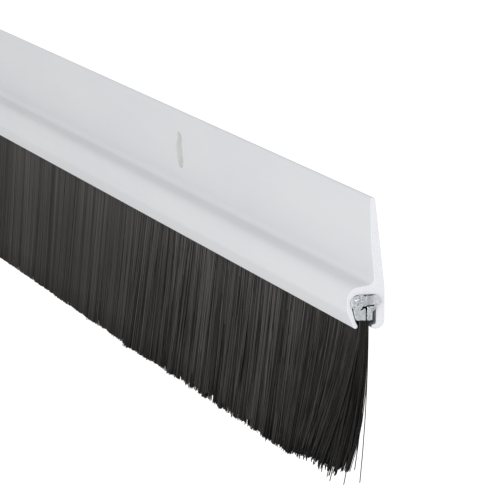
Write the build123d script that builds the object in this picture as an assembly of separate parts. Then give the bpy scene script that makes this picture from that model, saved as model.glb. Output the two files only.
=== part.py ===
"""Screw-on door sweep: a C-channel carrier with a screw flange, holding a slide-in strip brush.

Frame: X runs along the sweep, -Y is the front, the door is at Y = 0 and +Z is up. The origin is on the
narrow flat band down the back of the carrier, at mid-length. All sizes are in millimetres.
"""
import os
from math import radians, tan

from build123d import *

# Overall sizes
length = 914.4  # carrier, cut square at both ends
carrier_height = 23.4
bristle_drop = 27.4  # free filament below the carrier's lips

# Steel strip of the brush, a U crimped in below the core wire
strip_width = 4.1
strip_height = 4.1
strip_sheet = 0.45
strip_fold_radius = 0.9
strip_overhang = 0.45  # strip stands proud of the carrier at each end
neck_width = 2.6
neck_height = 1.5
crimp_rise = 0.65  # slope from the neck out to the full width
crimp_radius = 0.3
core_diameter = 0.9
fold_thickness = 0.5  # filament between the core wire and the strip's top

# Flange
flange_tip = 0.9
flange_middle = 1.6
flange_root = 1.8
flange_lean = 6.5  # degrees from the door, taken up when it is screwed flat
flange_bend_drop = 7.5  # from the flange's top edge to the bend in its front face
flange_bend_radius = 12.0
flange_edge_radii = (0.25, 0.35)  # back and front of the top edge
crease_radius = 0.9  # where the flange meets the channel's top

# Channel walls
band_height = 4.4  # flat band that stands against the door
back_wall = 1.6
top_wall = 1.8
front_wall = 0.9
shoulder_fall = 0.7  # the channel's top slopes down to the front by this much
shoulder_radius = 2.4
cheek_radius = 2.0  # where the front wall turns in towards its lip
heel_radius = 1.6  # back corner under the door band
inside_radius = 1.2
inside_back_radius = 0.4

# Mouth and its two lips, which curl in under the strip
mouth_width = 2.2
lip_height = 0.85
lip_reach_front = 0.6
lip_reach_back = 0.7
lip_nose_radius = 0.25
strip_seat = 0.95  # from the lips' tops up to the strip's bottom edges

# Screw slots in the flange
slot_count = 4
slot_width = 4.4
slot_length = 7.4
slot_end_offset = 127.0
slot_top_offset = 8.0  # from the flange's top edge to the slot's centre

# Clearances
slide_clearance = 0.17  # strip to channel, each side
slide_headroom = 0.3  # strip to channel, top
pack_clearance = 0.03  # filament to steel
mouth_clearance = 0.28  # filament to each lip
flex_clearance = 0.2  # rounded top of the free filament to the lips and the root

# Free filament
curtain_lean = 6.5  # degrees forward of straight down
curtain_tip = 4.2  # thickness across the spread tips
curtain_swell = 0.5  # thicker than the root by this much where it leaves the lips

# Derived places in the section
cavity_width = strip_width + 2 * slide_clearance
channel_front = -(back_wall + cavity_width + front_wall)
brush_y = -(back_wall + cavity_width / 2)
lip_bottom = -band_height / 2 - 3.0
lip_top = lip_bottom + lip_height
strip_bottom = lip_top + strip_seat
strip_top = strip_bottom + strip_height
cavity_top = strip_top + slide_headroom
channel_top = cavity_top + top_wall
flange_top = lip_bottom + carrier_height
slot_z = flange_top - slot_top_offset
slot_pitch = (length - 2 * slot_end_offset) / (slot_count - 1)
root_width = mouth_width - 2 * mouth_clearance
knuckle_radius = (root_width + curtain_swell) / 2
hinge_z = lip_bottom - flex_clearance - knuckle_radius
brush_length = length + 2 * strip_overhang


def flange_back(z):
    """Y of the flange's leaning back face, which starts at the top of the flat band."""
    return -(z - band_height / 2) * tan(radians(flange_lean))


def run(section, run_length):
    """A section in the YZ plane, run along X to both sides of mid-length."""
    return extrude(section, amount=run_length / 2, both=True)


def closed_section(corners):
    """A filled outline in the YZ plane from (y, z, corner radius) in order."""
    points = [(y, z) for y, z, _ in corners]
    outline = FilletPolyline(*points, radius=[r for _, _, r in corners], close=True)
    return Plane.YZ * make_face(outline)


def carrier_section():
    bend = flange_top - flange_bend_drop
    back_radius, front_radius = flange_edge_radii
    flange = [
        (flange_back(flange_top), flange_top, back_radius),
        (flange_back(flange_top) - flange_tip, flange_top, front_radius),
        (flange_back(bend) - flange_middle, bend, flange_bend_radius),
        (flange_back(channel_top) - flange_root, channel_top, crease_radius),
    ]
    cheek = strip_bottom + neck_height
    front_wall_outside = [
        (channel_front, channel_top - shoulder_fall, shoulder_radius),
        (channel_front, cheek - 0.1, cheek_radius),
    ]
    mouth_front = brush_y - mouth_width / 2
    front_lip = [
        (mouth_front - lip_reach_front, lip_bottom, 0.3),
        (mouth_front, lip_top - 0.35, lip_nose_radius),
        (mouth_front - 0.5, strip_bottom - 0.3, 0.6),
    ]
    inside = [
        (channel_front + front_wall, cheek + 0.4, inside_radius),
        (channel_front + front_wall, cavity_top, inside_radius),
        (-back_wall, cavity_top, inside_back_radius),
        (-back_wall, lip_top + 0.1, 0.3),
    ]
    mouth_back = brush_y + mouth_width / 2
    back_lip = [
        (mouth_back, lip_top - 0.2, lip_nose_radius),
        (mouth_back + lip_reach_back, lip_bottom, 0.5),
        (0, lip_bottom, heel_radius),
        (0, band_height / 2, 0),
    ]
    return closed_section(flange + front_wall_outside + front_lip + inside + back_lip)


def carrier():
    cutter = Plane.XZ * SlotOverall(slot_length, slot_width, rotation=90)
    slot = extrude(cutter, amount=-channel_front, both=True)
    places = GridLocations(slot_pitch, 0, slot_count, 1)
    slots = [Pos(place.position.X, 0, slot_z) * slot for place in places]
    return run(carrier_section(), length) - slots


def strip_outline(inset, bottom):
    """Keyhole outline of the folded strip, moved inwards by inset and ending at bottom."""
    half = strip_width / 2 - inset
    neck = neck_width / 2 - inset
    crimp = strip_bottom + neck_height
    top = strip_top - inset
    fold = max(strip_fold_radius - inset, 0.2)
    return closed_section([
        (brush_y - neck, bottom, 0),
        (brush_y - neck, crimp, crimp_radius),
        (brush_y - half, crimp + crimp_rise, crimp_radius),
        (brush_y - half, top, fold),
        (brush_y + half, top, fold),
        (brush_y + half, crimp + crimp_rise, crimp_radius),
        (brush_y + neck, crimp, crimp_radius),
        (brush_y + neck, bottom, 0),
    ])


def strip_channel():
    opened = strip_outline(strip_sheet, strip_bottom - strip_height)
    return run(strip_outline(0, strip_bottom) - opened, brush_length)


def core_disc(gap):
    z = strip_top - strip_sheet - fold_thickness - core_diameter / 2
    return Plane.YZ * Pos(brush_y, z) * Circle(core_diameter / 2 + gap)


def core_wire():
    return run(core_disc(0), brush_length)


def bristle_root():
    clamped = strip_outline(strip_sheet + pack_clearance, strip_bottom)
    leg_height = strip_bottom + neck_height - lip_bottom
    leg_place = Pos(brush_y, lip_bottom + leg_height / 2)
    leg = Plane.YZ * leg_place * Rectangle(root_width, leg_height)
    return run(clamped + leg - core_disc(pack_clearance), brush_length)


def bristle_curtain():
    tips = lip_bottom - bristle_drop
    tip_y = brush_y - (hinge_z - tips) * tan(radians(curtain_lean))
    spread = make_face(Polyline(
        (brush_y - knuckle_radius, hinge_z),
        (brush_y + knuckle_radius, hinge_z),
        (tip_y + curtain_tip / 2, tips),
        (tip_y - curtain_tip / 2, tips),
        close=True,
    ))
    knuckle = Pos(brush_y, hinge_z) * Circle(knuckle_radius)
    return run(Plane.YZ * (spread + knuckle), brush_length)


os.makedirs("parts", exist_ok=True)
for make in (carrier, strip_channel, core_wire, bristle_root, bristle_curtain):
    export_step(make(), f"parts/{make.__name__}.step")
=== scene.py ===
import math
import random

import bmesh
import bpy
import numpy as np
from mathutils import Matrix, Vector, noise
from mathutils.geometry import delaunay_2d_cdt, intersect_point_line


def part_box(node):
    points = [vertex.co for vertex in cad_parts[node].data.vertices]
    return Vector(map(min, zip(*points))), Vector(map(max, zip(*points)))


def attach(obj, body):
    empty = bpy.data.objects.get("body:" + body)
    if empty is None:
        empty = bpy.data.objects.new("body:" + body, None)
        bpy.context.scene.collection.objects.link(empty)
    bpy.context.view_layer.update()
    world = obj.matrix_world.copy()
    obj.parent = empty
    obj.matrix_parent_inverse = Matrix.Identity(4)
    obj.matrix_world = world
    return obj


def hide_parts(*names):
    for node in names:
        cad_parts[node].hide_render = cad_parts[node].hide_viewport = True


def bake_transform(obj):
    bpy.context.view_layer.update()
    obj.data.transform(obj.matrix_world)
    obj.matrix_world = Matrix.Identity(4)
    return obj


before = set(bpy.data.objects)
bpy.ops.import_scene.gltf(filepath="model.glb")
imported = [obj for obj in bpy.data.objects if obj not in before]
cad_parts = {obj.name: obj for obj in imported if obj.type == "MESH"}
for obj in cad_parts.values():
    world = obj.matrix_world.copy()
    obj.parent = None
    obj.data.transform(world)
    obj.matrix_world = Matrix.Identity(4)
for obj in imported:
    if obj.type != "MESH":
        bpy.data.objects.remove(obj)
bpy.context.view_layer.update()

mm = 0.001
carrierLow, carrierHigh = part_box("carrier")
stripLow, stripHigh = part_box("strip_channel")
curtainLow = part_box("bristle_curtain")[0]
wireLow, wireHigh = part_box("core_wire")
endX = carrierHigh.x
brushY = (stripLow.y + stripHigh.y) / 2
lipZ = carrierLow.z


class Signal:
    def __init__(self, tree, socket):
        self.tree = tree
        self.socket = socket

    def maths(self, operation, first, second):
        node = self.tree.nodes.new("ShaderNodeMath")
        node.operation = operation
        for slot, value in zip(node.inputs, (first, second)):
            feed(self.tree, slot, value)
        return Signal(self.tree, node.outputs[0])

    def __add__(self, other):
        return self.maths("ADD", self, other)

    def __radd__(self, other):
        return self.maths("ADD", other, self)

    def __sub__(self, other):
        return self.maths("SUBTRACT", self, other)

    def __rsub__(self, other):
        return self.maths("SUBTRACT", other, self)

    def __mul__(self, other):
        return self.maths("MULTIPLY", self, other)

    def __rmul__(self, other):
        return self.maths("MULTIPLY", other, self)


def feed(tree, slot, value):
    if isinstance(value, Signal):
        tree.links.new(value.socket, slot)
    else:
        slot.default_value = value


class Finish:
    def __init__(self, name, **constants):
        self.material = bpy.data.materials.new(name)
        self.material.use_nodes = True
        self.tree = self.material.node_tree
        self.shader = self.tree.nodes["Principled BSDF"]
        for slot, value in constants.items():
            self.shader.inputs[slot.replace("_", " ")].default_value = value

    def node(self, kind, settings, sockets, out=0):
        made = self.tree.nodes.new("ShaderNode" + kind)
        for name, value in settings.items():
            setattr(made, name, value)
        for name, value in sockets.items():
            feed(self.tree, made.inputs[name], value)
        return Signal(self.tree, made.outputs[out])

    def place(self, stretch):
        # object coordinates in metres, stretched along the axes
        here = self.node("TexCoord", {}, {}, out=3)
        return self.node("Mapping", {}, {"Vector": here, "Scale": stretch})

    def noise(self, stretch, detail=4.0, rough=0.5):
        return self.node("TexNoise", {}, {
            "Vector": self.place(stretch), "Scale": 1.0, "Detail": detail, "Roughness": rough})

    def ramp(self, value, low, high, bottom=0.0, top=1.0):
        return self.node("MapRange", {"interpolation_type": "SMOOTHSTEP"}, {
            "Value": value, "From Min": low, "From Max": high, "To Min": bottom, "To Max": top})

    def mix(self, share, first, second):
        # 6 and 7 are the colour sockets
        return self.node("Mix", {"data_type": "RGBA"}, {0: share, 6: first, 7: second}, out=2)

    def bump(self, height, distance, strength):
        return self.node("Bump", {}, {"Height": height, "Distance": distance, "Strength": strength})

    def wear(self, **links):
        for slot, value in links.items():
            feed(self.tree, self.shader.inputs[slot.replace("_", " ")], value)
        return self.material


def grey(level, warm=0.0):
    return (level * (1 + warm), level, level * (1 - warm), 1)


def makeRigidPvc():
    look = {"base": (0.690, 0.701, 0.722, 1), "cool": (0.672, 0.687, 0.713, 1), "shine": 0.42}
    finish = Finish("satinWhitePvc", IOR=1.52)
    dieLines = finish.noise((6, 2600, 2600), detail=3)   # drawn out along the length
    clouds = finish.noise((22, 90, 90), detail=5, rough=0.6)
    grain = finish.noise((5200, 5200, 5200), detail=2)
    colour = finish.mix(finish.ramp(clouds, 0.35, 0.7), look["base"], look["cool"])
    relief = dieLines * 0.7 + grain * 0.3
    return finish.wear(
        Base_Color=colour,
        Roughness=look["shine"] + (clouds - 0.5) * 0.16 + (dieLines - 0.5) * 0.1,
        Normal=finish.bump(relief, 0.00002, 0.35))


def makeSawnPvc():
    look = {"fresh": (0.885, 0.89, 0.93, 1), "bruised": (0.78, 0.79, 0.83, 1)}
    finish = Finish("sawnPvcEnd", IOR=1.5)
    saw = finish.noise((300, 9000, 700), detail=4)
    crumbs = finish.noise((4200, 4200, 4200), detail=4, rough=0.7)
    colour = finish.mix(finish.ramp(crumbs, 0.42, 0.72), look["fresh"], look["bruised"])
    return finish.wear(
        Base_Color=colour,
        Roughness=0.55 + (crumbs - 0.5) * 0.3,
        Normal=finish.bump(saw * 0.5 + crumbs, 0.00006, 0.5))


def makePunchedPvcPaintedShade():
    # the cut face inside the slots, with painted shade: greyer than the rail in mottled patches, for the
    # shade that lies inside a hole
    look = {"clean": (0.72, 0.72, 0.715, 1), "paintedSlotShade": (0.60, 0.595, 0.59, 1)}
    finish = Finish("punchedPvcPaintedShade", IOR=1.5)
    slotShadeMottle = finish.noise((900, 3000, 500), detail=4)
    return finish.wear(
        Base_Color=finish.mix(finish.ramp(slotShadeMottle, 0.35, 0.7), look["clean"], look["paintedSlotShade"]),
        Roughness=0.6 + (slotShadeMottle - 0.5) * 0.2)


def makeGalvanised():
    look = {"bright": (0.72, 0.75, 0.755, 1), "dull": (0.58, 0.61, 0.625, 1)}
    finish = Finish("galvanisedSheet", Metallic=1.0)
    bloom = finish.noise((900, 1400, 1400), detail=5, rough=0.6)
    colour = finish.mix(finish.ramp(bloom, 0.35, 0.65), look["dull"], look["bright"])
    return finish.wear(
        Base_Color=colour,
        Roughness=0.36 + (bloom - 0.5) * 0.3,
        Normal=finish.bump(bloom, 0.00005, 0.5))


def makeSpangledZinc():
    look = {"bright": (0.76, 0.78, 0.80, 1), "dull": (0.33, 0.35, 0.37, 1), "crystal": 5200}
    finish = Finish("spangledZinc", Metallic=1.0)
    crystal = look["crystal"]
    spangle = finish.node("TexVoronoi", {"feature": "F1"}, {
        "Vector": finish.place((crystal, crystal, crystal)), "Scale": 1.0}, out=1)
    facet = finish.node("SeparateColor", {}, {"Color": spangle})
    bloom = finish.noise((2600, 2600, 2600), detail=5, rough=0.7)
    shade = finish.ramp(facet * 0.6 + bloom * 0.9, 0.42, 0.95)
    return finish.wear(
        Base_Color=finish.mix(shade, look["dull"], look["bright"]),
        Roughness=0.26 + facet * 0.2,
        Normal=finish.bump(facet * 0.2 + bloom, 0.00005, 0.35))


def makeSmearedZinc():
    look = {"bright": (0.84, 0.84, 0.87, 1), "dull": (0.44, 0.46, 0.49, 1)}
    finish = Finish("smearedZinc", Metallic=0.85)
    drag = finish.noise((1200, 500, 3400), detail=4)
    here = finish.node("TexCoord", {}, {}, out=3)
    across = finish.node("SeparateXYZ", {}, {"Vector": here}, out=1)
    grit = finish.noise((2900, 2900, 2900), detail=5, rough=0.7)
    # brighter towards the back
    brighterToBack = finish.ramp(across, brushY + 0.5 * mm, brushY + 2.3 * mm)
    shade = brighterToBack * 0.8 + (drag - 0.45) * 0.8 + (grit - 0.5) * 2.2
    return finish.wear(
        Base_Color=finish.mix(shade, look["dull"], look["bright"]),
        Roughness=0.44 + (drag - 0.5) * 0.2,
        Normal=finish.bump(drag, 0.00004, 0.5))


def makeHighlightPaintedZinc():
    # painted highlight: near-white metal for the gleam plate, standing in for the bright crescent of light
    # on the strip's shoulder
    look = {"bright": (0.97, 0.97, 0.97, 1), "dull": (0.88, 0.89, 0.90, 1)}
    finish = Finish("highlightPaintedZinc", Metallic=1.0)
    highlightMottle = finish.noise((900, 1600, 1600), detail=3)
    return finish.wear(
        Base_Color=finish.mix(highlightMottle, look["dull"], look["bright"]),
        Roughness=0.24 + highlightMottle * 0.14)


def makeDrawnWire():
    finish = Finish("drawnWire", Metallic=1.0)
    lines = finish.noise((40, 9000, 9000), detail=3)
    colour = finish.mix(lines, grey(0.32), grey(0.55))
    return finish.wear(Base_Color=colour, Roughness=0.26 + lines * 0.16)


def makeFilament():
    look = {"deep": (0.0066, 0.0056, 0.0050, 1), "faded": (0.125, 0.117, 0.112, 1), "shine": 0.36}
    finish = Finish("blackFilament", IOR=1.49, Specular_IOR_Level=0.33)
    tone = finish.node("Attribute", {"attribute_name": "tone"}, {}, out=2)
    haze = finish.noise((160, 160, 60), detail=4)
    colour = finish.mix(tone, look["deep"], look["faded"])
    return finish.wear(
        Base_Color=colour,
        Roughness=look["shine"] + tone * 0.16 + (haze - 0.5) * 0.14)


def makePackedFilamentAndShade():
    finish = Finish("packedFilamentAndShade", IOR=1.49)
    streaks = finish.noise((5200, 5200, 60), detail=4)
    # black like the filaments, and darker still with painted shade for the depth of the pack between them
    colour = finish.mix(finish.ramp(streaks, 0.35, 0.7), grey(0.004), grey(0.018, 0.04))
    return finish.wear(
        Base_Color=colour,
        Roughness=0.5 + (streaks - 0.5) * 0.3,
        Normal=finish.bump(streaks, 0.0001, 0.8))


def makePaleFloor():
    # lit from beneath for the lens alone, like a light table, so that it throws little back up
    finish = Finish("paleFloor", Emission_Strength=0.42)
    dust = finish.noise((3, 3, 3), detail=3)
    seen = finish.node("LightPath", {}, {}, out=0)
    return finish.wear(
        Base_Color=finish.mix(dust, grey(0.90), grey(0.93)),
        Roughness=0.7 + dust * 0.1,
        Emission_Color=finish.mix(seen, grey(0.0), grey(1.0)))


rigidPvc = makeRigidPvc()
sawnPvc = makeSawnPvc()
punchedPvcPaintedShade = makePunchedPvcPaintedShade()
galvanised = makeGalvanised()
spangledZinc = makeSpangledZinc()
smearedZinc = makeSmearedZinc()
highlightPaintedZinc = makeHighlightPaintedZinc()
drawnWire = makeDrawnWire()
filament = makeFilament()
packedFilamentAndShade = makePackedFilamentAndShade()
print("finishes made")


def roundOutline(corners, closed=True, turnStep=0.2):
    # corners are (y, z, radius); the arcs come out as short runs, with a held edge beside each one
    held = 0.03 * mm
    points = []
    count = len(corners)
    for i, (y, z, radius) in enumerate(corners):
        here = Vector((y, z))
        if radius == 0 or (not closed and i in (0, count - 1)):
            points.append(here)
            continue
        before = Vector(corners[i - 1][:2]) - here
        after = Vector(corners[(i + 1) % count][:2]) - here
        before.normalize()
        after.normalize()
        half = before.angle(after) / 2
        reach = radius / math.tan(half)
        centre = here + (before + after).normalized() * (radius / math.sin(half))
        start = here + before * reach
        turn = math.pi - 2 * half
        side = 1 if before.x * after.y - before.y * after.x < 0 else -1
        steps = max(2, math.ceil(turn / turnStep))
        points.append(start + before * held)
        for step in range(steps + 1):
            angle = side * turn * step / steps
            spoke = start - centre
            points.append(centre + Vector((
                spoke.x * math.cos(angle) - spoke.y * math.sin(angle),
                spoke.x * math.sin(angle) + spoke.y * math.cos(angle))))
        points.append(here + after * (reach + held))
    return points


def outlineTurn(points):
    area = sum(a.x * b.y - b.x * a.y for a, b in zip(points, points[1:] + points[:1]))
    return 1 if area > 0 else -1


def insetOutline(points, inset):
    turn = outlineTurn(points)
    moved = []
    for i, here in enumerate(points):
        heading = (points[(i + 1) % len(points)] - points[i - 1]).normalized()
        moved.append(here + Vector((-heading.y, heading.x)) * inset * turn)
    return moved


def addPiece(name, verts, faces, materials, faceMaterials=None):
    mesh = bpy.data.meshes.new(name)
    mesh.from_pydata(verts, [], faces)
    for material in materials:
        mesh.materials.append(material)
    if faceMaterials is not None:
        mesh.polygons.foreach_set("material_index", faceMaterials)
    mesh.validate()
    piece = bpy.data.objects.new(name, mesh)
    bpy.context.scene.collection.objects.link(piece)
    return piece


def tubeFaces(rings, around, flip=False):
    # walls from each ring of points to the next, and a cap on either end
    faces = []
    for ring in range(rings - 1):
        a, b = ring * around, (ring + 1) * around
        for i in range(around):
            j = (i + 1) % around
            faces.append((a + i, a + j, b + j, b + i) if flip else (a + i, b + i, b + j, a + j))
    first = range(around)
    last = range((rings - 1) * around, rings * around)
    if flip:
        return faces + [tuple(reversed(first)), tuple(last)]
    return faces + [tuple(first), tuple(reversed(last))]


def fixNormals(piece):
    shape = bmesh.new()
    shape.from_mesh(piece.data)
    bmesh.ops.recalc_face_normals(shape, faces=shape.faces)
    shape.to_mesh(piece.data)
    shape.free()


def smoothPiece(piece, limit=32):
    piece.data.polygons.foreach_set("use_smooth", [True] * len(piece.data.polygons))
    piece.data.set_sharp_from_angle(angle=math.radians(limit))


def applyModifiers(piece):
    graph = bpy.context.evaluated_depsgraph_get()
    solid = bpy.data.meshes.new_from_object(piece.evaluated_get(graph), depsgraph=graph)
    piece.modifiers.clear()
    piece.data = solid


carrierSizes = {
    "flangeLean": math.radians(6.5),
    "flangeTip": 0.9 * mm,
    "flangeMiddle": 1.6 * mm,
    "flangeRoot": 1.8 * mm,
    "flangeBendDrop": 7.5 * mm,
    "bandTop": 2.2 * mm,         # flat band against the door
    "backWall": 1.6 * mm,
    "frontWall": 0.9 * mm,
    "headroom": 0.3 * mm,
    "topWall": 1.8 * mm,
    "shoulderFall": 0.7 * mm,
    "lipHeight": 0.85 * mm,
    "mouthHalf": 1.1 * mm,
    "neckHeight": 1.5 * mm,
    "sawnEdge": 0.05 * mm,       # broken edge round the cut ends
    "slotWidth": 4.4 * mm,
    "slotLength": 7.4 * mm,
    "slotDrop": 8.0 * mm,
    "slotInset": 127 * mm,
    "slotCount": 4,
    "slotBurr": 0.10 * mm,
    "spans": 16,                 # lengths that the rail is divided in
}


def carrierCorners():
    s = carrierSizes
    top, bottom = carrierHigh.z, lipZ
    lipTop = bottom + s["lipHeight"]
    cavityTop = stripHigh.z + s["headroom"]
    channelTop = cavityTop + s["topWall"]
    bend = top - s["flangeBendDrop"]
    front = carrierLow.y
    cheek = stripLow.z + s["neckHeight"]
    inside = front + s["frontWall"]
    mouthFront = brushY - s["mouthHalf"]
    mouthBack = brushY + s["mouthHalf"]

    def back(z):
        return -(z - s["bandTop"]) * math.tan(s["flangeLean"])

    return [
        (back(top), top, 0.25 * mm),
        (back(top) - s["flangeTip"], top, 0.35 * mm),
        (back(bend) - s["flangeMiddle"], bend, 12 * mm),
        (back(channelTop) - s["flangeRoot"], channelTop, 1.2 * mm),
        (front, channelTop - s["shoulderFall"], 2.4 * mm),
        (front, cheek - 0.1 * mm, 2.0 * mm),
        (mouthFront - 0.6 * mm, bottom, 0.3 * mm),
        (mouthFront, lipTop - 0.35 * mm, 0.25 * mm),
        (mouthFront - 0.5 * mm, stripLow.z - 0.3 * mm, 0.6 * mm),
        (inside, cheek + 0.4 * mm, 1.2 * mm),
        (inside, cavityTop, 1.2 * mm),
        (-s["backWall"], cavityTop, 0.4 * mm),
        (-s["backWall"], lipTop + 0.1 * mm, 0.3 * mm),
        (mouthBack, lipTop - 0.2 * mm, 0.25 * mm),
        (mouthBack + 0.7 * mm, bottom, 0.5 * mm),
        (0, bottom, 1.6 * mm),
        (0, s["bandTop"], 0),
    ]


def slotCutter(x, z):
    # a stadium that opens out a little at the front and back faces
    s = carrierSizes
    radius, burr = s["slotWidth"] / 2, s["slotBurr"]
    straight = s["slotLength"] / 2 - radius
    flangeFront = -(z - s["bandTop"]) * math.tan(s["flangeLean"]) - s["flangeMiddle"]
    flangeBack = flangeFront + s["flangeMiddle"]
    rings = [
        (flangeFront - 3 * burr, radius + 3.2 * burr),
        (flangeFront + burr * 0.7, radius),
        (flangeBack - burr * 0.7, radius),
        (flangeBack + 3 * burr, radius + 3.2 * burr),
    ]
    verts = []
    halfTurn = 14
    for y, r in rings:
        for end in (0, 1):
            for step in range(halfTurn + 1):
                angle = math.pi * (end + step / halfTurn)
                lift = straight * (1 - 2 * end)
                verts.append((x + r * math.cos(angle), y, z + lift + r * math.sin(angle)))
    return verts, tubeFaces(len(rings), 2 * (halfTurn + 1), flip=True)


def makeCarrier():
    s = carrierSizes
    outline = roundOutline(carrierCorners())
    broken = insetOutline(outline, s["sawnEdge"])
    inner = endX - s["sawnEdge"]
    stations = [(endX, broken), (inner, outline), (inner - s["sawnEdge"], outline)]
    stations += [(inner * (1 - 2 * i / s["spans"]), outline) for i in range(1, s["spans"])]
    stations += [(-x, ring) for x, ring in reversed(stations[:3])]
    count = len(outline)
    verts = [(x, p.x, p.y) for x, ring in stations for p in ring]
    plain, sawn = [0] * count, [1] * count       # the sawn finish takes both broken edges and both caps
    kinds = sawn + plain * (len(stations) - 3) + sawn + [1, 1]
    piece = addPiece("carrierRail", verts, tubeFaces(len(stations), count), [rigidPvc, sawnPvc], kinds)
    fixNormals(piece)

    pitch = 2 * (endX - s["slotInset"]) / (s["slotCount"] - 1)
    slotZ = carrierHigh.z - s["slotDrop"]
    cutVerts, cutFaces = [], []
    for i in range(s["slotCount"]):
        more, moreFaces = slotCutter(-endX + s["slotInset"] + i * pitch, slotZ)
        cutFaces += [tuple(v + len(cutVerts) for v in face) for face in moreFaces]
        cutVerts += more
    cutter = addPiece("slotCutter", cutVerts, cutFaces, [punchedPvcPaintedShade])
    fixNormals(cutter)
    cut = piece.modifiers.new("slots", "BOOLEAN")
    cut.object = cutter
    cut.operation = "DIFFERENCE"
    cut.solver = "EXACT"
    cut.material_mode = "TRANSFER"
    applyModifiers(piece)
    bpy.data.objects.remove(cutter)
    smoothPiece(piece)
    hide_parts("carrier")
    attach(piece, "carrier")
    print("carrier made,", len(piece.data.polygons), "faces")


makeCarrier()


stripSizes = {
    "sheet": 0.45 * mm,
    "neckHalf": 1.3 * mm,
    "crimpRise": 0.65 * mm,
    "foldRadius": 0.9 * mm,
    "crimpRadius": 0.3 * mm,
    "crushedRun": 3.0 * mm,      # length at each end that the shear has spread
    "flare": 0.13 * mm,
    "jag": 0.04 * mm,
    "spans": 24,
}


def stripMiddle():
    # middle line of the sheet, up one leg, over the top and down the other
    s = stripSizes
    half = (stripHigh.y - stripLow.y) / 2 - s["sheet"] / 2
    neck = s["neckHalf"] - s["sheet"] / 2
    crimp = stripLow.z + carrierSizes["neckHeight"]
    top = stripHigh.z - s["sheet"] / 2
    fold = s["foldRadius"] - s["sheet"] / 2
    corners = [
        (brushY - neck, stripLow.z, 0),
        (brushY - neck, crimp, s["crimpRadius"]),
        (brushY - half, crimp + s["crimpRise"], s["crimpRadius"]),
        (brushY - half, top, fold),
        (brushY + half, top, fold),
        (brushY + half, crimp + s["crimpRise"], s["crimpRadius"]),
        (brushY + neck, crimp, s["crimpRadius"]),
        (brushY + neck, stripLow.z, 0),
    ]
    return roundOutline(corners, closed=False, turnStep=0.3)


def makeStrip():
    s = stripSizes
    dice = random.Random(11)
    line = stripMiddle()
    sides = []
    for i, here in enumerate(line):
        heading = (line[min(i + 1, len(line) - 1)] - line[max(i - 1, 0)]).normalized()
        sides.append(Vector((-heading.y, heading.x)) * s["sheet"] / 2)
    ring = [p + d for p, d in zip(line, sides)] + [p - d for p, d in reversed(list(zip(line, sides)))]
    half = stripHigh.x
    stations = [half - s["crushedRun"] * t for t in (0, 0.06, 0.14, 0.26, 0.42, 0.65, 1.0)]
    stations += [half * (1 - 2 * i / s["spans"]) for i in range(1, s["spans"])]
    stations += [-x for x in reversed(stations[:7])]
    middleZ = (stripLow.z + stripHigh.z) / 2
    verts = []
    for x in stations:
        crushed = max(0, 1 - (half - abs(x)) / s["crushedRun"]) ** 2
        for p in ring:
            out = Vector((p.x - brushY, (p.y - middleZ) * 0.6)).normalized() * s["flare"] * crushed
            jag = dice.uniform(-s["jag"], s["jag"]) * crushed
            verts.append((x + jag, p.x + out.x, p.y + out.y))
    piece = addPiece("foldedStrip", verts, tubeFaces(len(stations), len(ring)), [galvanised])
    fixNormals(piece)
    smoothPiece(piece, 40)
    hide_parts("strip_channel")
    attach(piece, "brush")
    print("strip made,", len(piece.data.polygons), "faces")


# outlines of the torn metal over a cut end, (y, z) in mm from the foot of the strip's middle
tornPlates = {
    "cap": {
        "outline": [
            (-2.5, 2.75), (-2.52, 3.35), (-2.1, 3.9), (-1.5, 4.3), (-0.8, 4.43), (-0.2, 4.4),
            (-0.08, 4.2), (0.2, 4.15), (0.2, 3.6), (0.42, 2.5), (0.05, 2.36), (-0.42, 2.32),
            (-0.5, 2.05), (-1.0, 1.66), (-1.75, 1.8), (-2.38, 2.2)],
        "lift": 0.1, "lump": 0.16, "rim": 0.3, "metal": 1},
    "flap": {
        "outline": [
            (0.1, 4.16), (0.4, 4.38), (0.8, 4.26), (1.5, 4.3), (1.8, 4.42), (2.3, 4.1), (2.78, 3.5),
            (2.92, 2.85), (2.6, 2.7), (2.0, 2.68), (1.04, 2.6), (0.38, 2.52), (0.05, 2.9), (0.0, 3.5)],
        "lift": 0.24, "lump": 0.06, "rim": 0.34, "metal": 2},
    # painted highlight: a thin near-white plate shaped like the highlight on the strip's shoulder
    "gleam": {
        "outline": [
            (-1.86, 3.34), (-1.8, 3.6), (-1.45, 3.82), (-1.05, 3.84), (-0.84, 3.66), (-1.15, 3.56),
            (-1.5, 3.42)],
        "lift": 0.43, "lump": 0.02, "rim": 0.08, "metal": 3},
    "frontLeg": {
        "outline": [
            (-2.1, 2.0), (-1.72, 1.9), (-1.0, 1.64), (-0.5, 1.76), (-0.1, 2.02), (0.14, 1.95),
            (0.18, 1.5), (0.19, -0.14), (-0.55, -0.1), (-1.1, -0.03), (-1.62, -0.02), (-1.82, 0.75),
            (-2.0, 1.4)],
        "lift": 0.02, "lump": 0.05, "rim": 0.1, "metal": 0},
    "lowerFold": {
        "outline": [
            (0.46, 2.34), (1.1, 2.38), (2.0, 2.45), (2.12, 2.0), (1.62, 1.5), (1.22, 1.2), (0.46, 1.25)],
        "lift": 0.04, "lump": 0.12, "rim": 0.05, "metal": 1},
    "backLeg": {
        "outline": [
            (0.4, 1.5), (1.22, 1.45), (1.2, 0.4), (1.04, -0.08), (0.84, -0.2), (0.42, -0.08)],
        "lift": 0.0, "lump": 0.08, "rim": 0.04, "metal": 1},
}
tornSheet = {
    "grain": 0.13,       # spacing of the points, in mm
    "thick": 0.28,
    "tear": 0.035,       # raggedness of the edge
    "roundOff": 0.16,    # how far the rim turns back
    "deepest": -0.05,
    "low": (-2.7, -0.4),     # corners of the area that all the plates lie in
    "high": (3.1, 4.4),
}


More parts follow.
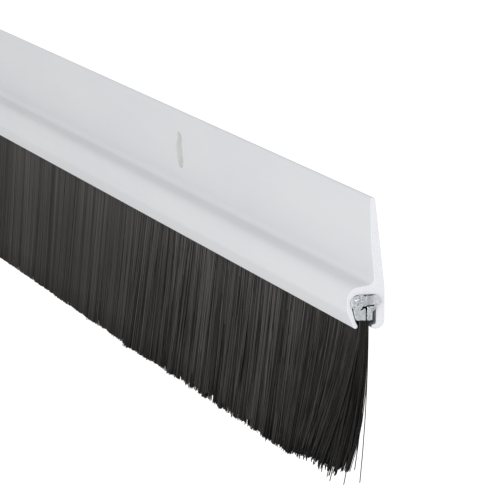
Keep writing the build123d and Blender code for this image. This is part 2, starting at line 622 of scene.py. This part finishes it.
def edgeDistance(point, loop):
    nearest = math.inf
    for a, b in zip(loop, loop[1:] + loop[:1]):
        share = intersect_point_line(point.to_3d(), a.to_3d(), b.to_3d())[1]
        share = min(max(share, 0), 1)
        nearest = min(nearest, (point - a.lerp(b, share)).length)
    return nearest


def isInside(point, loop):
    inside = False
    for a, b in zip(loop, loop[1:] + loop[:1]):
        if (a.y > point.y) != (b.y > point.y):
            if point.x < a.x + (b.x - a.x) * (point.y - a.y) / (b.y - a.y):
                inside = not inside
    return inside


def tornPlate(plate, seed):
    # a lumpy plate with a ragged edge, as (lift, y, z) points in mm and triangles between them
    s = tornSheet
    grain = s["grain"]
    offset = Vector((seed * 3.7, seed * 1.3, 0))
    corners = [Vector(c) for c in plate["outline"]]
    loop = []
    for a, b in zip(corners, corners[1:] + corners[:1]):
        steps = max(1, round((b - a).length / grain))
        loop += [a.lerp(b, i / steps) for i in range(steps)]
    loop = [p + noise.noise_vector(p.to_3d() * 5 + offset).to_2d() * s["tear"] for p in loop]
    inner = []
    y = s["low"][0]
    while y < s["high"][0]:
        z = s["low"][1]
        while z < s["high"][1]:
            p = Vector((y, z)) + noise.noise_vector(Vector((y * 9, z * 9, seed))).to_2d() * grain * 0.3
            if isInside(p, loop) and edgeDistance(p, loop) > grain * 0.5:
                inner.append(p)
            z += grain
        y += grain
    points = loop + inner
    flat = delaunay_2d_cdt(points, [], [list(range(len(loop)))], 1, 1e-5)
    front = []
    for p in flat[0]:
        rim = min(1, edgeDistance(p, loop) / plate["rim"])
        lumps = noise.noise(p.to_3d() * 2.6 + offset) + 0.5 * noise.noise(p.to_3d() * 6.5 + offset)
        lift = plate["lift"] + plate["lump"] * lumps * (0.4 + 0.6 * rim)
        lift -= s["roundOff"] * (1 - rim) ** 2
        front.append((max(lift, s["deepest"]), p.x, p.y))
    return front, flat[2]


def makeCrushedEnds():
    # the shear leaves each mouth of the strip folded nearly shut, with a crack and a dark hole in it
    metals = [galvanised, spangledZinc, smearedZinc, highlightPaintedZinc]
    noise.seed_set(4)        # otherwise the torn edges come out differently each time
    for side, label in ((1, "Right"), (-1, "Left")):
        verts, faces, kinds = [], [], []
        for order, plate in enumerate(tornPlates.values()):
            front, triangles = tornPlate(plate, order + (1 if side > 0 else 20))
            start, size = len(verts), len(front)
            for depth in (0, tornSheet["thick"]):
                for lift, y, z in front:
                    x = side * (stripHigh.x + (lift - depth) * mm)
                    verts.append((x, brushY + y * mm, stripLow.z + z * mm))
            sides = {}
            for a, b, c in triangles:
                faces.append((start + a, start + b, start + c))
                faces.append((start + size + c, start + size + b, start + size + a))
                kinds += [plate["metal"]] * 2
                sides.update({(a, b): True, (b, c): True, (c, a): True})
            for a, b in sides:
                if (b, a) not in sides:         # an edge of the plate
                    faces.append((start + b, start + a, start + size + a, start + size + b))
                    kinds.append(plate["metal"])
        piece = addPiece("crushedEnd" + label, verts, faces, metals, kinds)
        fixNormals(piece)
        smoothPiece(piece, 55)
        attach(piece, "brush")


wireSizes = {
    "sides": 20,
    "short": 0.25 * mm,          # it ends this far inside the strip
    # distance from the end, share of the radius
    "endRounding": [(0, 0.62), (0.05 * mm, 0.92), (0.14 * mm, 1)],
}


def makeCoreWire():
    s = wireSizes
    radius = (wireHigh.y - wireLow.y) / 2
    middleY, middleZ = (wireLow.y + wireHigh.y) / 2, (wireLow.z + wireHigh.z) / 2
    half = wireHigh.x - s["short"]
    rings = [(half - run, radius * share) for run, share in s["endRounding"]]
    rings += [(-x, r) for x, r in reversed(rings)]
    verts = []
    for x, r in rings:
        for i in range(s["sides"]):
            angle = 2 * math.pi * i / s["sides"]
            verts.append((x, middleY + r * math.cos(angle), middleZ + r * math.sin(angle)))
    piece = addPiece("coreWire", verts, tubeFaces(len(rings), s["sides"]), [drawnWire])
    fixNormals(piece)
    smoothPiece(piece, 40)
    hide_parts("core_wire")
    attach(piece, "brush")


makeStrip()
makeCrushedEnds()
makeCoreWire()
print("steel made")


brushSizes = {
    "filament": 0.15 * mm,
    "stray": 0.21 * mm,
    "rootHalf": 0.80 * mm,       # half thickness where the steel lets go
    "mouthHalf": 0.84 * mm,      # half thickness between the lips
    "offset": 0.14 * mm,         # the pack sits a little to the front of the mouth
    "freeLength": 28.3 * mm,
    "bow": 0.3 * mm,             # forward bow at the tips
    "spread": 0.045,
    "slant": 0.9 * mm,           # how far askew a tuft lies through the thickness
    "unevenEach": 0.14,          # how much each filament varies: length in mm, leans and tone
    "leanXEach": 0.019,
    "leanYEach": 0.007,
    "toneEach": 0.54,
    "tone": 0.56,
    "rearSwing": 0.065,          # at a cut end the rear filaments swing later and less than the front ones
    "swingPower": 1.7,
    "rearPower": 0.4,
    "rings": [0.09, 0.18, 0.28, 0.40, 0.60, 0.80, 1.0],     # shares of the free length
    "endGap": 0.1 * mm,
    "sections": 8,
    "frontPitch": 0.10 * mm,
    "backPitch": 0.13 * mm,
    "middlePitch": 0.14 * mm,
    "frontLayer": (-1.0, -0.72),  # places through the thickness, from -1 at the front to 1 at the back
    "backLayer": (0.72, 1.0),
    "middleLayer": (-0.7, 0.7),
    "paintedInsideShade": 0.55,
    # painted shade: how much darker the filaments get at their tips, and the extra near a cut end
    "paintedTipShade": 0.48,
    "paintedEndTipShade": 0.28,
    "paintedEndShadeRun": 55 * mm,
    "endCrowd": 620,             # more filaments for a cut end, which shows the pack right through
    "endRun": 7 * mm,
    "blendTop": 0.2 * mm,        # distances under the lips
    "blendFoot": 9 * mm,
    # these are all (distance from a cut end in mm, value)
    "leanAlong": [           # forward lean
        (0, 0.05), (40, 0.054), (130, 0.056), (143, 0.07), (149, 0.085), (157, 0.045), (170, 0.035),
        (205, 0.035), (225, 0.02), (255, 0.008), (285, 0.002), (460, 0.002)],
    "swingAlong": [          # inward swing of the tips, in mm
        (0, 12.5), (7, 10.7), (12, 8.9), (17, 7.2), (22, 5.3), (27, 3.8), (37, 2), (42, 0.9),
        (50, 0.3), (64, 0)],
    "looseAlong": [(0, 1.2), (60, 1.0), (160, 0.8), (200, 0.4), (290, 0.25), (460, 0.25)],
    "crispAlong": [
        (0, 0.85), (40, 1.05), (110, 1.1), (140, 0.6), (165, 0.25), (205, 0.06), (290, 0), (460, 0)],
    # painted shade: filaments darker towards a cut end, where one looks into the depth of the pack
    "endShadeAlong": [
        (0, 0.17), (12, 0.21), (25, 0.35), (45, 0.62), (75, 0.90), (150, 0.98), (220, 1.06), (460, 1.06)],
}


def along(curve, distance):
    return np.interp(distance / mm, [d for d, v in curve], [v for d, v in curve])


def tuftRow(seed, widths, leanX, leanY, uneven, tone, pinch):
    # filaments hang together in tufts, from one end of the brush to the other
    dice = np.random.default_rng(seed)
    half = stripHigh.x
    edges = [-half]
    while edges[-1] < half:
        edges.append(edges[-1] + dice.choice(widths) * mm * dice.uniform(0.75, 1.3))
    count = len(edges) - 1
    return {
        "edges": np.array(edges),
        "middle": (np.array(edges[:-1]) + np.array(edges[1:])) / 2,
        "leanX": dice.normal(0, leanX, count),
        "leanY": dice.normal(0, leanY, count),
        "uneven": dice.normal(0, uneven, count) * mm,
        "tone": dice.normal(0, tone, count),
        "pinch": dice.uniform(0, pinch, count),
    }


locks = tuftRow(41, (3, 4.5, 7), leanX=0.02, leanY=0.009, uneven=0.04, tone=0.13, pinch=0)
tufts = tuftRow(52, (0.5, 0.8, 1.3, 2.0), leanX=0.017, leanY=0.008, uneven=0.05, tone=0.11, pinch=0.05)


def strandPaths(rootX, share, dice, loose=1.0, slack=1.0):
    # share is the place through the thickness, from -1 at the front to 1 at the back
    s = brushSizes
    n = len(rootX)
    place = rootX + share * s["slant"]
    which = np.clip(np.searchsorted(tufts["edges"], place) - 1, 0, len(tufts["middle"]) - 1)
    fromEnd = stripHigh.x - np.abs(rootX)
    untidy = along(s["looseAlong"], fromEnd) * loose
    crisp = along(s["crispAlong"], fromEnd)

    def lock(what):
        return np.interp(rootX, locks["middle"], locks[what])

    uneven = lock("uneven") + tufts["uneven"][which] + dice.normal(0, s["unevenEach"], n) * mm
    length = s["freeLength"] + uneven * untidy
    leanX = lock("leanX") + tufts["leanX"][which] * crisp + dice.normal(0, s["leanXEach"], n) * crisp
    leanY = along(s["leanAlong"], fromEnd) + lock("leanY") * untidy + tufts["leanY"][which] * crisp
    leanY = leanY + dice.normal(0, s["leanYEach"], n) * crisp
    swing = -np.sign(rootX) * along(s["swingAlong"], fromEnd) * mm
    swing = swing * (1 - s["rearSwing"] * (1 + share)) * slack
    late = s["swingPower"] + s["rearPower"] * share
    gather = tufts["pinch"][which] * (tufts["middle"][which] - place)
    steps = [-0.08, 0.0] + s["rings"]
    centre = brushY - s["offset"]
    paths = np.zeros((n, len(steps) + 1, 3))
    paths[:, 0] = np.stack([rootX, centre + share * s["rootHalf"], np.full(n, stripLow.z + 0.5 * mm)], 1)
    for k, t in enumerate(steps):
        free = max(t, 0.0)
        x = rootX + swing * free ** late + leanX * length * free + gather * free
        thickness = s["mouthHalf"] if t >= 0 else (s["rootHalf"] + s["mouthHalf"]) / 2
        y = centre + share * (thickness + s["spread"] * length * free)
        y = y - leanY * length * free - s["bow"] * free ** 2
        across = (x - rootX) ** 2 + (y - centre - share * thickness) ** 2
        drop = np.sqrt(np.maximum((length * free) ** 2 - across, 0))
        z = lipZ - drop if t >= 0 else np.full(n, (lipZ + stripLow.z) / 2)
        paths[:, k + 1] = np.stack([x, y, z], 1)
    # painted shade, darker towards the cut ends
    paintedShadeFactor = along(s["endShadeAlong"], fromEnd)
    tone = (s["tone"] + lock("tone") + tufts["tone"][which] * (0.5 + 0.5 * crisp)) * paintedShadeFactor
    tone = tone + dice.normal(0, s["toneEach"], n) * crisp * np.sqrt(paintedShadeFactor)
    return paths, np.clip(tone, 0.02, 1), which


def tubeMesh(name, paths, tones, which, radius, material):
    # three-sided tubes round the paths, closed at the tips
    n, k, _ = paths.shape
    heading = np.zeros_like(paths)
    heading[:, 1:-1] = paths[:, 2:] - paths[:, :-2]
    heading[:, 0] = paths[:, 1] - paths[:, 0]
    heading[:, -1] = paths[:, -1] - paths[:, -2]
    heading /= np.linalg.norm(heading, axis=2, keepdims=True)
    side = np.cross(heading, np.array([0.0, 1.0, 0.0]))
    side /= np.linalg.norm(side, axis=2, keepdims=True)
    other = np.cross(heading, side)
    corners = []
    for i in range(3):
        angle = 2 * math.pi * i / 3 + math.pi / 2
        corners.append(paths + radius * (side * math.cos(angle) + other * math.sin(angle)))
    verts = np.stack(corners, 2).reshape(-1, 3)     # strand, step, corner
    base = (np.arange(n)[:, None, None] * k + np.arange(k - 1)[None, :, None]) * 3
    i = np.arange(3)[None, None, :]
    j = (i + 1) % 3
    quads = np.stack([base + i, base + j, base + 3 + j, base + 3 + i], -1).reshape(-1, 4)
    lastRing = (np.arange(n) * k + k - 1) * 3
    tips = np.stack([lastRing + 2, lastRing + 1, lastRing], 1)

    mesh = bpy.data.meshes.new(name)
    mesh.vertices.add(len(verts))
    mesh.vertices.foreach_set("co", verts.ravel())
    loops = np.concatenate([quads.ravel(), tips.ravel()])
    starts = np.concatenate([np.arange(len(quads)) * 4, len(quads) * 4 + np.arange(n) * 3])
    mesh.loops.add(len(loops))
    mesh.loops.foreach_set("vertex_index", loops)
    mesh.polygons.add(len(starts))
    mesh.polygons.foreach_set("loop_start", starts)
    mesh.update(calc_edges=True)
    mesh.polygons.foreach_set("use_smooth", np.ones(len(starts), bool))
    mesh.materials.append(material)

    tone = mesh.attributes.new("tone", "FLOAT", "POINT")
    # painted shade: darker towards the tips, where less light falls, and most of all at a cut end
    fromEnd = stripHigh.x - np.abs(paths[:, 0, 0])
    nearEnd = np.clip(1 - fromEnd / brushSizes["paintedEndShadeRun"], 0, 1)
    paintedTipShade = brushSizes["paintedTipShade"] + brushSizes["paintedEndTipShade"] * nearEnd
    paintedShadeFactor = 1 - paintedTipShade[:, None, None] * np.linspace(0, 1, k)[None, :, None]
    tone.data.foreach_set("value", np.broadcast_to(tones[:, None, None] * paintedShadeFactor, (n, k, 3)).ravel().copy())
    column = (which - which.min() + 0.5) / (which.max() - which.min() + 1)
    layer = mesh.uv_layers.new(name="OFBake")
    width = 0.35 / (which.max() - which.min() + 1)
    u = column[:, None, None] + width * np.array([-1, 0, 1])[None, None, :] + 0 * np.zeros((n, k, 1))
    v = np.broadcast_to(np.linspace(0.99, 0.01, k)[None, :, None], (n, k, 3))
    pairs = np.stack([u, v], -1).reshape(-1, 2)[loops]
    layer.data.foreach_set("uv", pairs.ravel())
    piece = bpy.data.objects.new(name, mesh)
    bpy.context.scene.collection.objects.link(piece)
    return piece


def bendWithBrush(piece):
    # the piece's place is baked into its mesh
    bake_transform(piece)


def makeFilaments():
    s = brushSizes
    half = stripHigh.x - s["endGap"]
    total = 0
    for section in range(s["sections"]):
        dice = np.random.default_rng(500 + section)
        low = -half + 2 * half * section / s["sections"]
        high = low + 2 * half / s["sections"]
        groups = []
        for layer in ("front", "back", "middle"):
            pitch = s[layer + "Pitch"]
            n = int((high - low) / pitch)
            x = np.linspace(low, high, n, endpoint=False)
            scatter = 0.1 + 0.9 * along(s["crispAlong"], half - np.abs(x))
            x = x + dice.uniform(0, pitch, n) * scatter
            groups.append((np.clip(x, -half, half), dice.uniform(*s[layer + "Layer"], n)))
        if section in (0, s["sections"] - 1):
            n = s["endCrowd"]
            x = (half - dice.uniform(0, 1, n) ** 1.5 * s["endRun"]) * (1 if section else -1)
            groups.append((x, dice.uniform(-1, 1, n)))
        x = np.concatenate([g[0] for g in groups])
        share = np.concatenate([g[1] for g in groups])
        paths, tones, which = strandPaths(x, share, dice)
        # painted shade: the filaments inside the pack are darker, for the shade inside it where a cut end
        # opens it up
        tones = np.where(np.abs(share) < s["middleLayer"][1], tones * s["paintedInsideShade"], tones)
        piece = tubeMesh(f"filaments_{section + 1}", paths, tones, which, s["filament"] / 2, filament)
        if section == 0:
            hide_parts("bristle_curtain")
        bendWithBrush(piece)
        total += len(x)
    print("filaments made,", total)


straySizes = {
    "along": 240,                # how many over the whole length, and how many more at each end
    "atEnd": 64,
    "endRun": 19,                # in mm
    "longer": 0.012,
    "longerAtEnd": 0.03,
    "slackAtEnd": (0.55, 0.95),
    "tone": 0.4,
    # two long ones left standing off each end: place through the thickness, swing in mm, lean and
    # power of the swing
    "escaped": [(0.98, 3.1, 0.05, 2.0), (0.98, 8.6, 0.023, 1.3)],
}


def makeStrays():
    # single filaments that have left the pack, at the tips and beside the cut ends
    s, stray = brushSizes, straySizes
    dice = np.random.default_rng(77)
    half = stripHigh.x - s["endGap"]
    n, m = stray["along"], stray["atEnd"]
    x = np.concatenate([
        dice.uniform(-half, half, n),
        half - dice.uniform(0, stray["endRun"], m) * mm,
        dice.uniform(0, stray["endRun"], m) * mm - half])
    share = np.concatenate([dice.uniform(-1, 1, n), dice.uniform(-1, 0.6, 2 * m)])
    longer = 1 + np.concatenate([
        dice.uniform(0, stray["longer"], n), dice.uniform(0, stray["longerAtEnd"], 2 * m)])
    slack = np.concatenate([np.ones(n), dice.uniform(*stray["slackAtEnd"], 2 * m)])
    paths, tones, which = strandPaths(x, share, dice, loose=1.1, slack=slack)
    top = paths[:, 2:3]
    paths[:, 2:] = top + (paths[:, 2:] - top) * longer[:, None, None]
    for side in (1, -1):
        for share, swing, lean, power in stray["escaped"]:
            path, tone, place = strandPaths(np.array([side * half]), np.array([share]), dice, 0, 0)
            free = np.array([0.0] + s["rings"])
            lengths = free * s["freeLength"]
            root = brushY - s["offset"] + share * s["mouthHalf"]
            x = -swing * mm * free ** power
            y = (share * s["spread"] - lean) * lengths - s["bow"] * free ** 2
            drop = np.sqrt(lengths ** 2 - x ** 2 - y ** 2)
            path[0, 2:] = np.stack([side * (half + x), root + y, lipZ - drop], 1)
            paths = np.concatenate([paths, path])
            tones = np.concatenate([tones, tone])
            which = np.concatenate([which, place])
    piece = tubeMesh("strayFilaments", paths, tones * stray["tone"], which, s["stray"] / 2, filament)
    bendWithBrush(piece)


packSizes = {
    "columns": 1400,
    "layers": (-0.7, -0.3, 0.3, 0.7),
    "endGap": 0.5 * mm,
    "shorter": 0.03,
    "ragged": 0.025,
}


def makePack():
    # the mass of filaments behind the ones that show, ridged like the tufts and ragged below
    s = packSizes
    columns = s["columns"]
    dice = np.random.default_rng(31)
    half = stripHigh.x - s["endGap"]
    x = np.linspace(-half, half, columns)
    layers = []
    for share in s["layers"]:
        depth = share + dice.uniform(-0.05, 0.05, columns)
        layers.append(strandPaths(x, depth, np.random.default_rng(9))[0])
    grid = np.stack(layers, 1)                       # column, layer, step
    shorten = 1 - s["shorter"] - dice.uniform(0, s["ragged"], columns)
    top = grid[:, :, 2:3]
    grid[:, :, 2:] = top + (grid[:, :, 2:] - top) * shorten[:, None, None, None]
    steps = grid.shape[2]
    around = [(0, k) for k in range(steps)] + [(1, steps - 1), (2, steps - 1)]
    around += [(3, k) for k in range(steps - 1, -1, -1)] + [(2, 0), (1, 0)]
    ring = np.stack([grid[:, layer, k] for layer, k in around], 1)
    faces = tubeFaces(columns, len(around), flip=True)
    piece = addPiece("filamentPack", ring.reshape(-1, 3).tolist(), faces, [packedFilamentAndShade])
    smoothPiece(piece, 60)
    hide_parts("bristle_root")
    bendWithBrush(piece)


makeFilaments()
makeStrays()
makePack()
print("brush made")


studio = {
    "floorDrop": 420 * mm,
    "coveRadius": 30.0,
    "coveHeight": 7.0,
    "coveSides": 96,
    "skyLevel": 0.83,
    "softbox": {"place": (0.34, -0.54, 0.06), "target": (-0.05, 0, 0), "size": (0.5, 0.5), "power": 1.5},
}


def makeStudio():
    # a round floor that turns up into a low wall all round
    drop, reach = curtainLow.z - studio["floorDrop"], studio["coveRadius"]
    around, height = studio["coveSides"], studio["coveHeight"]
    rings = [(reach, 0), (reach * 1.03, height * 0.03), (reach * 1.05, height)]
    verts = []
    for radius, rise in rings:
        for i in range(around):
            angle = 2 * math.pi * i / around
            verts.append((radius * math.cos(angle), radius * math.sin(angle), drop + rise))
    faces = [tuple(range(around))]
    for ring in range(len(rings) - 1):
        a, b = ring * around, (ring + 1) * around
        faces += [(a + i, b + i, b + (i + 1) % around, a + (i + 1) % around) for i in range(around)]
    floor = addPiece("studioFloor", verts, faces, [makePaleFloor()])

    world = bpy.data.worlds.new("softbox")
    bpy.context.scene.world = world
    world.use_nodes = True
    sky = world.node_tree.nodes["Background"]
    sky.inputs["Color"].default_value = (1, 1, 1, 1)
    sky.inputs["Strength"].default_value = studio["skyLevel"]


def makeSoftbox():
    # its place and its target are measured from the middle of the near cut end
    box = studio["softbox"]
    place = Vector((endX, 0, 0)) + Vector(box["place"])
    target = Vector((endX, 0, 0)) + Vector(box["target"])
    light = bpy.data.lights.new("keySoftbox", "AREA")
    light.shape = "RECTANGLE"
    light.size, light.size_y = box["size"]
    light.energy = box["power"]
    lamp = bpy.data.objects.new("keySoftbox", light)
    lamp.location = place
    lamp.rotation_euler = (target - place).to_track_quat("-Z", "Y").to_euler()
    lamp.visible_camera = False
    bpy.context.scene.collection.objects.link(lamp)


cameraView = {
    "lens": 331.2,
    "azimuth": 73.73,
    "elevation": 8.91,
    "distance": 802.6 * mm,
    "aim": (endX, -24.75 * mm, 9.9 * mm),
}


def makeCamera():
    view = cameraView
    turn, rise = math.radians(view["azimuth"]), math.radians(view["elevation"])
    away = Vector((math.sin(turn) * math.cos(rise), -math.cos(turn) * math.cos(rise), math.sin(rise)))
    lens = bpy.data.cameras.new("longLens")
    lens.lens = view["lens"]
    lens.sensor_width = 36
    lens.clip_start = 0.01
    lens.clip_end = 100
    camera = bpy.data.objects.new("camera", lens)
    camera.location = Vector(view["aim"]) + away * view["distance"]
    camera.rotation_euler = (-away).to_track_quat("-Z", "Y").to_euler()
    bpy.context.scene.collection.objects.link(camera)
    bpy.context.scene.camera = camera


makeStudio()
makeSoftbox()
makeCamera()
bpy.context.scene.view_settings.view_transform = "Standard"
print("studio made")
